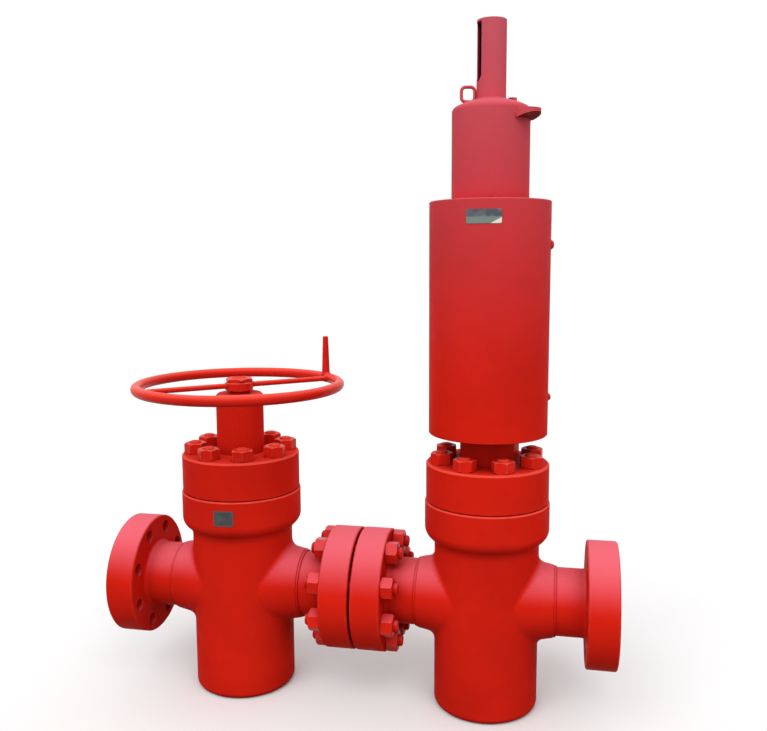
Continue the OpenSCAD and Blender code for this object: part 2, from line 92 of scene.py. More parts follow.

# Rubbed patches of a plate's field; lower half and slanting painted glint in a corner as shares of its size
WORN_SPREAD = (0.4, 0.7)
LOWER_HALF = (0.55, 0.4)
GLINT_START_SHARE = 0.67
GLINT_SLANT_SHARE = 0.72
GLINT_EDGE = (-0.01, 0.05)
PLATE_COLUMNS = 6
PLATE_ROWS = 3
PLATE_CORNER_STEPS = 5
RIVET_INSET_SHARE = 1.1
RIVET_HEIGHT_SHARE = 0.5

THREAD_COLUMNS = 24
THREAD_STEPS = 6
THREAD_DEPTH_SHARE = 0.6

BEAD_SIDES = 8
BEAD_SWELL_SHARE = 0.13
BEAD_END_SHARE = 0.4
NECK_LIFT_SHARE = 0.25
HOUSING_BEAD_SHARE = 1.3
LINK_BEAD_SHARE = 0.8
LUG_STEPS = 24
LUG_RISE_SHARES = (0.8, 0.4)
LINK_STEPS = 8

FLOOR_RADIUS = 30.0
LIGHT_DISTANCE = 6.0
CAMERA_REACH = 100.0


def linear(code):
    """Linear RGB of an sRGB hex colour."""
    parts = [int(code[i:i + 2], 16) / 255 for i in (1, 3, 5)]
    return tuple(c / 12.92 if c <= 0.04045 else ((c + 0.055) / 1.055) ** 2.4 for c in parts)


def length(name, description, millimetres):
    return FloatProperty(name=name, description=description, subtype="DISTANCE", unit="LENGTH",
                         default=millimetres * MM)


def angle(name, description, degrees):
    return FloatProperty(name=name, description=description, subtype="ANGLE", unit="ROTATION",
                         default=math.radians(degrees))


def colour(name, description, code):
    return FloatVectorProperty(name=name, description=description, subtype="COLOR", min=0.0, max=1.0,
                               default=linear(code))


def strength(name, description, value):
    return FloatProperty(name=name, description=description, min=0.0, default=value)


class ManifoldPaint(bpy.types.PropertyGroup):
    enamel: colour("Enamel", "Colour of the sprayed enamel", "#CE2012")
    thin: colour("Thin enamel", "Colour where the enamel is thinner", "#BE1C10")
    # painted reflection of the sky, which pales upward faces
    sky_reflection: colour("Chalked enamel", "Colour of upward faces, chalked by sun and rain", "#D8636F")
    # warmer painted highlight on upward faces
    warm_highlight: colour("Handled enamel", "Colour of upward faces that hands and spanners keep clean", "#DE4C3E")
    # painted highlight along edges, partly rubbed wear
    rubbed: colour("Rubbed enamel", "Colour of edges that handling has rubbed", "#EC8C78")
    # painted shade for corners and undersides
    painted_shade: colour("Grimy enamel", "Colour of corners where grime stays", "#7A0E0A")
    # painted reflection of the sky, paler towards the actuator's top
    upper_reflection: colour("Weathered enamel", "Colour of the upper actuator, dulled by weather", "#C25B69")
    bare: colour("Bare steel", "Colour of the oiled steel of seal faces and bores", "#8C8E8C")
    # painted shade inside the stem protector
    inside_shade: colour("Greasy steel", "Colour of the inside of the stem protector", "#6C1A32")


class ManifoldMarks(bpy.types.PropertyGroup):
    coat: length("Coat band", "Width of the bands where coats overlap", 190)
    overspray: length("Overspray patch", "Size of the patches that dry overspray dulls", 42)
    peel: length("Orange peel", "Size of the orange peel, twice the real one, to show", 4)
    peel_depth: length("Peel depth", "Depth of the orange peel", 0.10)
    round_edge: length("Round edge", "Radius that the paint gives to an edge", 1.2)
    # the edge mark is a painted highlight, partly rubbed wear
    rubbed_highlight_edge: length("Rubbed edge", "Radius of the wear along an edge", 2.2)
    rubbed_highlight_patch: length("Rubbed stretch", "Length of the stretches where an edge is rubbed", 28)
    shelter: length("Shelter", "Distance within which another piece shelters the paint", 200)
    # the actuator's paler top is a painted reflection of the sky
    reflection_foot: length("Fade foot", "Height at which the actuator starts to fade", 700)
    reflection_end: length("Fade end", "Height at which its fading would end", 1900)
    tool_ring: length("Tool ring", "Feed of the turning tool, four times the real one, to show", 1.6)
    tool_depth: length("Tool depth", "Depth of the turning marks", 0.08)
    seal_depth: length("Seal depth", "Depth from a flange's end to which its seal face is bare", 9)
    seal_radius: length("Seal radius", "Radius within which a flange's seal face is bare", 76)
    bore_radius: length("Bore radius", "Radius within which a flange's bore is bare", 39.5)
    tube_skin: length("Tube skin", "Depth of the stem protector's painted outside", 2)


class ManifoldStuds(bpy.types.PropertyGroup):
    bonnet: length("Bonnet stud", "Diameter of a bonnet stud", 28.6)
    joint: length("Joint stud", "Diameter of a stud in the flange joint", 28.6)
    pitch: length("Thread pitch", "Distance between two turns of a thread", 3.175)
    edge: length("Stud edge", "Width of the broken edge at a stud's end", 3.5)
    reach: length("Thread reach", "Length of thread cut at each end of a stud", 18)


class ManifoldWelds(bpy.types.PropertyGroup):
    neck: length("Neck diameter", "Outside of the neck behind a flange", 154)
    neck_bead: length("Neck bead", "Radius of the bead between hub and neck", 3.2)
    neck_ripple: length("Neck ripple", "Distance of the ripples on a neck bead", 5.5)
    fitting_bead: length("Fitting bead", "Radius of the beads on the actuator's fittings", 2.2)
    wheel_bead: length("Wheel bead", "Radius of the beads on spokes and handle", 2.2)
    ripple: length("Ripple", "Distance of the ripples on the other beads", 3.5)
    spoke_turn: angle("Spoke turn", "Turn of the spokes from the flow axis", 40)
    handle_turn: angle("Handle turn", "Turn of the crank handle from the flow axis", 45)
    handle_foot: length("Handle foot", "Diameter of the crank handle at its foot", 21)
    handle_lap: length("Handle lap", "Depth by which the bead's middle lies inside the handle", 0.3)
    lug_turn: angle("Lug turn", "Turn of the lifting lug from the flow axis to the front", 28)
    lug_span: angle("Lug span", "Half of the turn that the lifting lug's root spans", 21.4)
    link_turn: angle("Link turn", "Turn of the lifting link from the flow axis to the front", 12)
    link_foot: length("Link foot", "Half of the length of the beads at the lifting link", 9)
    link_side: length("Link side", "Distance of these beads from the link's middle", 3.4)
    dish: length("Dish radius", "Radius of the dished top", 175)


class ManifoldPlates(bpy.types.PropertyGroup):
    valve_width: length("Valve plate width", "Width of the plate on the hand valve", 47)
    valve_height: length("Valve plate height", "Height of the plate on the hand valve", 36)
    valve_turn: angle("Valve plate turn", "Turn of this plate from the front to the right", 3.3)
    valve_drop: length("Valve plate drop", "Drop from the body's top to this plate's middle", 37.5)
    actuator_width: length("Actuator plate width", "Width of the plate on the actuator", 74)
    actuator_height: length("Actuator plate height", "Height of the plate on the actuator", 29.5)
    actuator_turn: angle("Actuator plate turn", "Turn of this plate from the front to the right", -1.1)
    actuator_drop: length("Actuator plate drop", "Drop from the cylinder's top to this plate's middle", 37.8)
    corner: length("Plate corner", "Rounding of a plate's corners", 3.2)
    thickness: length("Plate thickness", "Thickness of a nameplate", 1.2)
    rim: length("Plate rim", "Width of the rim round a plate's field", 2.6)
    recess: length("Field recess", "Depth to which a field is etched", 0.35)
    recess_wall: length("Recess wall", "Width of the slope round a field", 0.4)
    rivet: length("Rivet", "Diameter of a rivet head", 3.2)
    brush_length: length("Brush length", "Length of the brush marks on a rim", 18)
    brush_height: length("Brush height", "Height of a brush mark, five times the real one, to show", 0.8)
    brush_depth: length("Brush depth", "Depth of a brush mark", 0.05)
    patch: length("Rubbed patch", "Size of the patches where a field is rubbed", 24)
    grit: length("Grit", "Size of the etched grit, four times the real one, to show", 1.2)
    grit_depth: length("Grit depth", "Depth of the etched grit", 0.06)
    steel: colour("Plate steel", "Colour of the dull rim of a plate", "#515453")
    # painted glint in the lower right corner of the actuator's plate
    bright: colour("Bright steel", "Colour of the corner that is rubbed bright", "#DADACC")
    etched: colour("Etched field", "Colour of the etched field of a plate", "#272626")
    worn: colour("Worn field", "Colour of the etched field where it is rubbed", "#3F4142")
    slate: colour("Slate field", "Colour of the upper half of the actuator's plate", "#3C444D")
    polished: colour("Polished field", "Colour of the upper half where it is rubbed", "#6C767E")
    silvered: colour("Silvered field", "Colour of the lower half of the actuator's plate", "#6E7C77")


class ManifoldStage(bpy.types.PropertyGroup):
    eye: FloatVectorProperty(name="Camera", description="Place of the camera", subtype="TRANSLATION",
                             unit="LENGTH", default=(0.4396, -1.8902, 1.0339))
    yaw: angle("Yaw", "Turn of the view to the left", 11.453)
    pitch: angle("Pitch", "Tilt of the view downward", 7.030)
    roll: angle("Roll", "Lean of the view", -0.269)
    sensor: FloatProperty(name="Sensor", description="Width of the sensor", subtype="DISTANCE_CAMERA",
                          unit="CAMERA", default=36.0)
    lens: FloatProperty(name="Lens", description="Focal length", subtype="DISTANCE_CAMERA", unit="CAMERA",
                        default=39.21)
    floor: colour("Floor", "Colour of the floor", "#E2E2E2")
    bounce: colour("Floor bounce", "Grey of the light that the floor throws back", "#767676")
    grain: length("Floor grain", "Size of the floor paint's grain", 30)
    grain_depth: length("Grain depth", "Depth of the floor paint's grain", 0.2)
    left_turn: angle("Left light turn", "Turn of the left light from the front", -24)
    left_power: strength("Left light", "Strength of the left light", 0.95)
    right_turn: angle("Right light turn", "Turn of the right light from the front", 28)
    right_power: strength("Right light", "Strength of the right light", 0.85)
    rise: angle("Light rise", "Angle of both lights above the floor", 45)
    spread: angle("Light spread", "Width of both lights, which softens their shadows", 40)
    air: strength("Air", "Strength of the even light from all round", 1.0)


def add(tree, kind, inputs=None, **settings):
    """Adds a node with its settings; each input is a value or an output to link from."""
    node = tree.nodes.new(kind)
    for name, value in settings.items():
        setattr(node, name, value)
    for name, value in (inputs or {}).items():
        if isinstance(value, bpy.types.NodeSocket):
            tree.links.new(value, node.inputs[name])
        else:
            node.inputs[name].default_value = value
    return node


def material(name):
    made = bpy.data.materials.new(name)
    made.use_nodes = True
    made.node_tree.nodes.clear()
    return made, made.node_tree


def rgba(tone):
    return (*tone, 1.0)


def span(limits):
    """Inputs of a range that runs between two limits."""
    return {"From Min": limits[0], "From Max": limits[1]}


def sprayed_tone(tree, place):
    """Red of the sprayed coats, a little darker where they don't overlap."""
    paint = bpy.context.scene.manifold_paint
    scale = 1 / bpy.context.scene.manifold_marks.coat
    cloud = add(tree, "ShaderNodeTexNoise", {"Vector": place, "Scale": scale, "Detail": 4.0,
                                             "Roughness": 0.6})
    coat = add(tree, "ShaderNodeMapRange", {"Value": cloud.outputs["Fac"], **span(COAT_SPREAD)})
    return add(tree, "ShaderNodeMix", {"Factor": coat.outputs["Result"], "A": rgba(paint.enamel),
                                       "B": rgba(paint.thin)}, data_type="RGBA").outputs["Result"]


def sky_reflection_share(tree, facing, height, open_sky, share, level, rising_reflection):
    """Share of the painted sky reflection that pales the enamel: upward faces most, the actuator towards its
    top.
    """
    marks = bpy.context.scene.manifold_marks
    reflection = add(tree, "ShaderNodeMapRange", {"Value": facing, **span(REFLECTION_FACING), "To Max": share},
                interpolation_type="SMOOTHSTEP").outputs["Result"]
    flat = add(tree, "ShaderNodeMapRange", {"Value": facing, **span(LEVEL_FACING), "To Min": 1.0,
                                            "To Max": level})
    steps = [("MULTIPLY", flat.outputs["Result"])]
    # the actuator is painted paler towards its top, a painted reflection of the sky
    if rising_reflection:
        high = add(tree, "ShaderNodeMapRange", {"Value": height, **span((marks.reflection_foot, marks.reflection_end)),
                                                "To Max": TOP_REFLECTION_SHARE}, interpolation_type="SMOOTHSTEP")
        steps.append(("MAXIMUM", high.outputs["Result"]))
    # what stands under another piece or in a slot gets less of the painted reflection
    steps.append(("MULTIPLY", open_sky))
    for operation, other in steps:
        reflection = add(tree, "ShaderNodeMath", {0: reflection, 1: other}, operation=operation).outputs["Value"]
    return reflection


def rub_and_highlight_share(tree, place, open_sky, rub_and_highlight):
    """Share of an edge's paler tone, a painted highlight partly from rubbing: in stretches, and not in
    corners.
    """
    marks = bpy.context.scene.manifold_marks
    wide = add(tree, "ShaderNodeBevel", {"Radius": marks.rubbed_highlight_edge}, samples=4)
    wall = add(tree, "ShaderNodeNewGeometry").outputs["True Normal"]
    turned = add(tree, "ShaderNodeVectorMath", {0: wide.outputs["Normal"], 1: wall},
                 operation="DOT_PRODUCT").outputs["Value"]
    edge = add(tree, "ShaderNodeMapRange", {"Value": turned, **span(RUB_HIGHLIGHT_TURN), "To Max": rub_and_highlight})
    spot = add(tree, "ShaderNodeTexNoise", {"Vector": place, "Scale": 1 / marks.rubbed_highlight_patch, "Detail": 4.0})
    stretch = add(tree, "ShaderNodeMapRange", {"Value": spot.outputs["Fac"], **span(RUB_HIGHLIGHT_SPREAD)})
    share = edge.outputs["Result"]
    for other in (stretch.outputs["Result"], open_sky):
        share = add(tree, "ShaderNodeMath", {0: share, 1: other}, operation="MULTIPLY").outputs["Value"]
    return share


def painted_shade_share(tree, facing, sky, under):
    """Share of painted shade on the enamel: in the deepest corners, and on undersides."""
    corner = add(tree, "ShaderNodeMapRange", {"Value": sky, **span(SHADE_SKY), "To Max": SHADE_SHARE})
    below = add(tree, "ShaderNodeMapRange", {"Value": facing, **span(UNDER_FACING), "To Max": under})
    return add(tree, "ShaderNodeMath", {0: corner.outputs["Result"], 1: below.outputs["Result"]},
               operation="MAXIMUM").outputs["Value"]


def paint_relief(tree, place, skin_mm, depth_mm):
    """Normal of a painted wall: rounded edges, orange peel and the skin of the metal under it."""
    marks = bpy.context.scene.manifold_marks
    soft = add(tree, "ShaderNodeBevel", {"Radius": marks.round_edge}, samples=4)
    # orange peel is about 2 mm across; drawn coarser so that it shows
    peel = add(tree, "ShaderNodeTexNoise", {"Vector": place, "Scale": 1 / marks.peel, "Detail": 2.0})
    bump = add(tree, "ShaderNodeBump", {"Height": peel.outputs["Fac"], "Strength": 0.2,
                                        "Distance": marks.peel_depth, "Normal": soft.outputs["Normal"]})
    skin = add(tree, "ShaderNodeTexNoise", {"Vector": place, "Scale": 1 / (skin_mm * MM), "Detail": 6.0,
                                            "Roughness": 0.55})
    return add(tree, "ShaderNodeBump", {"Height": skin.outputs["Fac"], "Strength": 0.5,
                                        "Distance": depth_mm * MM,
                                        "Normal": bump.outputs["Normal"]}).outputs["Normal"]


def enamel(name, skin_mm, depth_mm, roughness, pale, share=0.95, level=1.0, rising_reflection=False, warm_highlight_above=None,
           rub_and_highlight=0.8, under=0.0, gloss=0.012):
    """Alkyd enamel sprayed on steel: an even red, nearly matt, with a faint orange peel from the spray
    and, under it, the skin that forging, turning, rolling or bending left on the metal. Upward faces
    go pale by a share, level ones by less of it, and stay warmer above a height where hands reach.
    Edges are rubbed paler, and grime darkens corners and undersides."""
    paint = bpy.context.scene.manifold_paint
    marks = bpy.context.scene.manifold_marks
    made, tree = material(name)
    coords = add(tree, "ShaderNodeTexCoord").outputs
    place = coords["Object"]
    height = add(tree, "ShaderNodeSeparateXYZ", {"Vector": place}).outputs["Z"]
    facing = add(tree, "ShaderNodeSeparateXYZ", {"Vector": coords["Normal"]}).outputs["Z"]
    sky = add(tree, "ShaderNodeAmbientOcclusion", {"Distance": marks.shelter}, samples=4).outputs["AO"]
    open_sky = add(tree, "ShaderNodeMapRange", {"Value": sky, **span(OPEN_SKY)}).outputs["Result"]
    pale = rgba(pale)
    # above that height the painted highlight on upward faces is warmer
    if warm_highlight_above:
        warm_highlight_part = add(tree, "ShaderNodeMath", {0: height, 1: warm_highlight_above},
                    operation="GREATER_THAN").outputs["Value"]
        pale = add(tree, "ShaderNodeMix", {"Factor": warm_highlight_part, "A": pale, "B": rgba(paint.warm_highlight)},
                   data_type="RGBA").outputs["Result"]
    tone = sprayed_tone(tree, place)
    # upward faces are painted paler, a painted reflection of the sky
    layers = [(sky_reflection_share(tree, facing, height, open_sky, share, level, rising_reflection), pale)]
    # edges take a paler tone, a painted highlight partly from rubbing
    if rub_and_highlight:
        layers.append((rub_and_highlight_share(tree, place, open_sky, rub_and_highlight), rgba(paint.rubbed)))
    # painted shade darkens corners and undersides
    layers.append((painted_shade_share(tree, facing, sky, under), rgba(paint.painted_shade)))
    for part, layer in layers:
        tone = add(tree, "ShaderNodeMix", {"Factor": part, "A": tone, "B": layer},
                   data_type="RGBA").outputs["Result"]
    # dry overspray dulls the gloss in patches
    dull = add(tree, "ShaderNodeTexNoise", {"Vector": place, "Scale": 1 / marks.overspray, "Detail": 5.0})
    rough = add(tree, "ShaderNodeMapRange", {"Value": dull.outputs["Fac"], **span(DULL_SPREAD),
                                             "To Min": roughness + DULL_RANGE[0],
                                             "To Max": roughness + DULL_RANGE[1]})
    shader = add(tree, "ShaderNodeBsdfPrincipled", {
        "Base Color": tone, "Roughness": rough.outputs["Result"], "IOR": 1.5, "Specular IOR Level": gloss,
        "Normal": paint_relief(tree, place, skin_mm, depth_mm)})
    add(tree, "ShaderNodeOutputMaterial", {"Surface": shader.outputs["BSDF"]})
    return made


def reopened(made):
    """Tree, shader and coordinates of an enamel, for a finish that changes part of it."""
    tree = made.node_tree
    shader = next(n for n in tree.nodes if n.type == "BSDF_PRINCIPLED")
    place = next(n for n in tree.nodes if n.type == "TEX_COORD").outputs["Object"]
    return tree, shader, add(tree, "ShaderNodeSeparateXYZ", {"Vector": place}).outputs


def feeding(shader, socket):
    """Output that feeds a socket of a shader."""
    return shader.inputs[socket].links[0].from_socket


def axis_distance(tree, level, crossing, axis):
    """Distance from an axis that lies at zero in one direction and at a given place in the other."""
    aside = add(tree, "ShaderNodeMath", {0: crossing, 1: axis}, operation="SUBTRACT").outputs["Value"]
    across = add(tree, "ShaderNodeCombineXYZ", {"X": level, "Y": aside}).outputs["Vector"]
    return add(tree, "ShaderNodeVectorMath", {0: across}, operation="LENGTH").outputs["Value"]


def flange_enamel(end_x, flow_z):
    """Alkyd enamel on a turned flange whose seal face and bore stay bare: red outside, and inside the
    raised face oiled grey steel with the fine rings of the turning tool."""
    paint = bpy.context.scene.manifold_paint
    marks = bpy.context.scene.manifold_marks
    made = enamel("alkyd_enamel_on_flange_forging", 30, 0.10, 0.50, paint.sky_reflection)
    tree, shader, part = reopened(made)
    radius = axis_distance(tree, part["Y"], part["Z"], flow_z)
    reach = add(tree, "ShaderNodeMath", {0: part["X"]}, operation="ABSOLUTE").outputs["Value"]
    outer = add(tree, "ShaderNodeMath", {0: reach, 1: end_x - marks.seal_depth},
                operation="GREATER_THAN").outputs["Value"]
    inner = add(tree, "ShaderNodeMath", {0: radius, 1: marks.seal_radius},
                operation="LESS_THAN").outputs["Value"]
    face = add(tree, "ShaderNodeMath", {0: outer, 1: inner}, operation="MULTIPLY").outputs["Value"]
    bore = add(tree, "ShaderNodeMath", {0: radius, 1: marks.bore_radius},
               operation="LESS_THAN").outputs["Value"]
    bare = add(tree, "ShaderNodeMath", {0: face, 1: bore}, operation="MAXIMUM").outputs["Value"]
    # the tool feeds 0.4 mm a turn; drawn coarser so that it shows
    ring = add(tree, "ShaderNodeMath", {0: radius, 1: 2 * math.pi / marks.tool_ring},
               operation="MULTIPLY").outputs["Value"]
    wave = add(tree, "ShaderNodeMath", {0: ring}, operation="SINE").outputs["Value"]
    turned = add(tree, "ShaderNodeMath", {0: wave, 1: face}, operation="MULTIPLY").outputs["Value"]
    bump = add(tree, "ShaderNodeBump", {"Height": turned, "Strength": 0.35, "Distance": marks.tool_depth,
                                        "Normal": feeding(shader, "Normal")})
    tone = add(tree, "ShaderNodeMix", {"Factor": bare, "A": feeding(shader, "Base Color"),
                                       "B": rgba(paint.bare)}, data_type="RGBA")
    rough = add(tree, "ShaderNodeMix", {"Factor": bare, "A": feeding(shader, "Roughness"),
                                        "B": BARE_ROUGHNESS}, data_type="FLOAT")
    for socket, value in (("Base Color", tone.outputs["Result"]), ("Roughness", rough.outputs["Result"]),
                          ("Normal", bump.outputs["Normal"]), ("Metallic", bare)):
        tree.links.new(value, shader.inputs[socket])
    return made


def tube_enamel(axis_x, inner_r, cap_z):
    """Alkyd enamel on the stem protector. Inside, below its cap, it is painted dark: a painted shade."""
    paint = bpy.context.scene.manifold_paint
    made = enamel("alkyd_enamel_on_drawn_tube", 40, 0.10, 0.50, paint.upper_reflection, rising_reflection=True)
    tree, shader, part = reopened(made)
    radius = axis_distance(tree, part["Y"], part["X"], axis_x)
    within = add(tree, "ShaderNodeMath", {0: radius, 1: inner_r}, operation="LESS_THAN").outputs["Value"]
    below = add(tree, "ShaderNodeMath", {0: part["Z"], 1: cap_z}, operation="LESS_THAN").outputs["Value"]
    inside = add(tree, "ShaderNodeMath", {0: within, 1: below}, operation="MULTIPLY").outputs["Value"]
    # the inside below the cap is painted dark, a painted shade
    tone = add(tree, "ShaderNodeMix", {"Factor": inside, "A": feeding(shader, "Base Color"),
                                       "B": rgba(paint.inside_shade)}, data_type="RGBA")
    tree.links.new(tone.outputs["Result"], shader.inputs["Base Color"])
    return made


def brushed(name, tone):
    """Stainless steel sheet, brushed along its length: grey with fine level streaks."""
    plates = bpy.context.scene.manifold_plates
    made, tree = material(name)
    place = add(tree, "ShaderNodeTexCoord").outputs["Object"]
    # brush marks are about 0.15 mm high; drawn coarser so that they show
    along, high = 1 / plates.brush_length, 1 / plates.brush_height
    stretch = add(tree, "ShaderNodeMapping", {"Vector": place, "Scale": (along, along, high)})
    streak = add(tree, "ShaderNodeTexNoise", {"Vector": stretch.outputs["Vector"], "Scale": 1.0,
                                              "Detail": 3.0}).outputs["Fac"]
    rough = add(tree, "ShaderNodeMapRange", {"Value": streak, "To Min": 0.28, "To Max": 0.5})
    bump = add(tree, "ShaderNodeBump", {"Height": streak, "Strength": 0.25,
                                        "Distance": plates.brush_depth})
    shader = add(tree, "ShaderNodeBsdfPrincipled", {
        "Base Color": rgba(tone), "Metallic": 1.0, "Roughness": rough.outputs["Result"],
        "Normal": bump.outputs["Normal"]})
    add(tree, "ShaderNodeOutputMaterial", {"Surface": shader.outputs["BSDF"]})
    return made


def etched_field(name, dark, light, rubbed=False):
    """Acid etched and filled steel: a dull field with a fine grit, rubbed paler in patches and, on the
    rubbed plate, a paler lower half and a painted glint in the lower right corner."""
    plates = bpy.context.scene.manifold_plates
    made, tree = material(name)
    coords = add(tree, "ShaderNodeTexCoord").outputs
    patch = add(tree, "ShaderNodeTexNoise", {"Vector": coords["Object"], "Scale": 1 / plates.patch,
                                             "Detail": 3.0})
    worn = add(tree, "ShaderNodeMapRange", {"Value": patch.outputs["Fac"], **span(WORN_SPREAD)})
    layers = [(worn, light)]
    # a paler lower half and a painted glint in the lower right corner
    if rubbed:
        part = add(tree, "ShaderNodeSeparateXYZ", {"Vector": coords["Generated"]}).outputs
        low = add(tree, "ShaderNodeMapRange", {"Value": part["Z"], **span(LOWER_HALF)},
                  interpolation_type="SMOOTHSTEP")
        # the painted glint is a triangle, a third of the width and nearly half of the height
        slant = add(tree, "ShaderNodeMath", {0: part["Z"], 1: GLINT_SLANT_SHARE, 2: GLINT_START_SHARE},
                    operation="MULTIPLY_ADD")
        beyond = add(tree, "ShaderNodeMath", {0: part["X"], 1: slant.outputs["Value"]}, operation="SUBTRACT")
        corner = add(tree, "ShaderNodeMapRange", {"Value": beyond.outputs["Value"], **span(GLINT_EDGE)},
                     interpolation_type="SMOOTHSTEP")
        layers += [(low, plates.silvered), (corner, plates.bright)]
    tone = rgba(dark)
    for share, layer in layers:
        tone = add(tree, "ShaderNodeMix", {"Factor": share.outputs["Result"], "A": tone, "B": rgba(layer)},
                   data_type="RGBA").outputs["Result"]
    # the grit is about 0.3 mm; drawn coarser so that it shows
    grit = add(tree, "ShaderNodeTexNoise", {"Vector": coords["Object"], "Scale": 1 / plates.grit,
                                            "Detail": 4.0})
    bump = add(tree, "ShaderNodeBump", {"Height": grit.outputs["Fac"], "Strength": 0.3,
                                        "Distance": plates.grit_depth})
    shader = add(tree, "ShaderNodeBsdfPrincipled", {
        "Base Color": tone, "Roughness": 0.5, "Normal": bump.outputs["Normal"]})
    add(tree, "ShaderNodeOutputMaterial", {"Surface": shader.outputs["BSDF"]})
    return made


def dress(nodes, finish):
    for node in nodes:
        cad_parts[node].material_slots[0].material = finish


def middle(node):
    """Middle and half size of a CAD node's box."""
    low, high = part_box(node)
    return (low + high) / 2, (high - low) / 2


def mesh_piece(name, body, work, finishes):
    """Makes an object of a bmesh, gives it its finishes and lets it ride on a body."""
    bmesh.ops.recalc_face_normals(work, faces=work.faces)
    mesh = bpy.data.meshes.new(name)
    work.to_mesh(mesh)
    work.free()
    for finish in finishes:
        mesh.materials.append(finish)
    piece = bpy.data.objects.new(name, mesh)
    bpy.context.scene.collection.objects.link(piece)
    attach(piece, body)
    return piece


def bridge(work, rings, capped=True):
    """Joins a row of rings of vertices with smooth faces."""
    for first, second in zip(rings, rings[1:]):
        for k in range(len(first)):
            n = (k + 1) % len(first)
            work.faces.new((first[k], first[n], second[n], second[k])).smooth = True
    if capped:
        work.faces.new(rings[0])
        work.faces.new(rings[-1])


def circle(centre, axis, radius, steps):
    axis = Vector(axis).normalized()
    side = axis.orthogonal().normalized()
    up = axis.cross(side)
    turns = (2 * math.pi * k / steps for k in range(steps))
    return [Vector(centre) + radius * (math.cos(a) * side + math.sin(a) * up) for a in turns]


def weld_bead(work, path, size, ripple, closed=True):
    """Sweeps a weld bead along a path; it swells once per ripple, where each drop of metal froze."""
    rings = []
    count = len(path)
    travelled = 0.0
    side = None
    for i, point in enumerate(path):
        ahead = path[(i + 1) % count] - point if closed or i < count - 1 else point - path[i - 1]
        along = ahead.normalized()
        side = along.orthogonal() if side is None else side - side.dot(along) * along
        side.normalize()
        up = along.cross(side)
        radius = size * (1 + BEAD_SWELL_SHARE * abs(math.sin(math.pi * travelled / ripple)))
        if not closed and i in (0, count - 1):
            radius *= BEAD_END_SHARE
        rings.append([work.verts.new(point + radius * (math.cos(a) * side + math.sin(a) * up))
                      for a in (2 * math.pi * k / BEAD_SIDES for k in range(BEAD_SIDES))])
        travelled += ahead.length
    if closed:
        shift = min(range(BEAD_SIDES), key=lambda s: (rings[0][s].co - rings[-1][0].co).length)
        rings.append(rings[0][shift:] + rings[0][:shift])
    bridge(work, rings, capped=not closed)


def threaded_stud(work, foot, axis, long, radius, studs):
    """Stud with a helical thread at each end, a plain shank between and broken edges."""
    depth = THREAD_DEPTH_SHARE * studs.pitch
    step = studs.pitch / THREAD_STEPS
    count = round(studs.reach / step)
    heights = [i * step for i in range(count + 1)]
    heights += [long - h for h in reversed(heights)]
    side = axis.orthogonal().normalized()
    up = axis.cross(side)
    rings = []
    for i, h in enumerate(heights):
        ring = []
        for k in range(THREAD_COLUMNS):
            a = 2 * math.pi * k / THREAD_COLUMNS
            turn = (h / studs.pitch - k / THREAD_COLUMNS) % 1
            groove = 0 if i in (count, count + 1) else depth * (1 - abs(2 * turn - 1))
            r = min(radius - groove, radius - studs.edge + min(h, long - h))
            ring.append(work.verts.new(foot + axis * h + r * (math.cos(a) * side + math.sin(a) * up)))
        rings.append(ring)
    bridge(work, rings)


def rivet_head(work, seat, out, diameter):
    """Low dome on a plate."""
    head = bmesh.ops.create_uvsphere(work, u_segments=14, v_segments=8, radius=diameter / 2)["verts"]
    turned = Vector((0, 0, 1)).rotation_difference(out).to_matrix().to_4x4()
    flat = Matrix.Diagonal((1, 1, RIVET_HEIGHT_SHARE, 1))
    bmesh.ops.transform(work, matrix=Matrix.Translation(seat) @ turned @ flat, verts=head)
    for face in {f for vert in head for f in vert.link_faces}:
        face.smooth = True


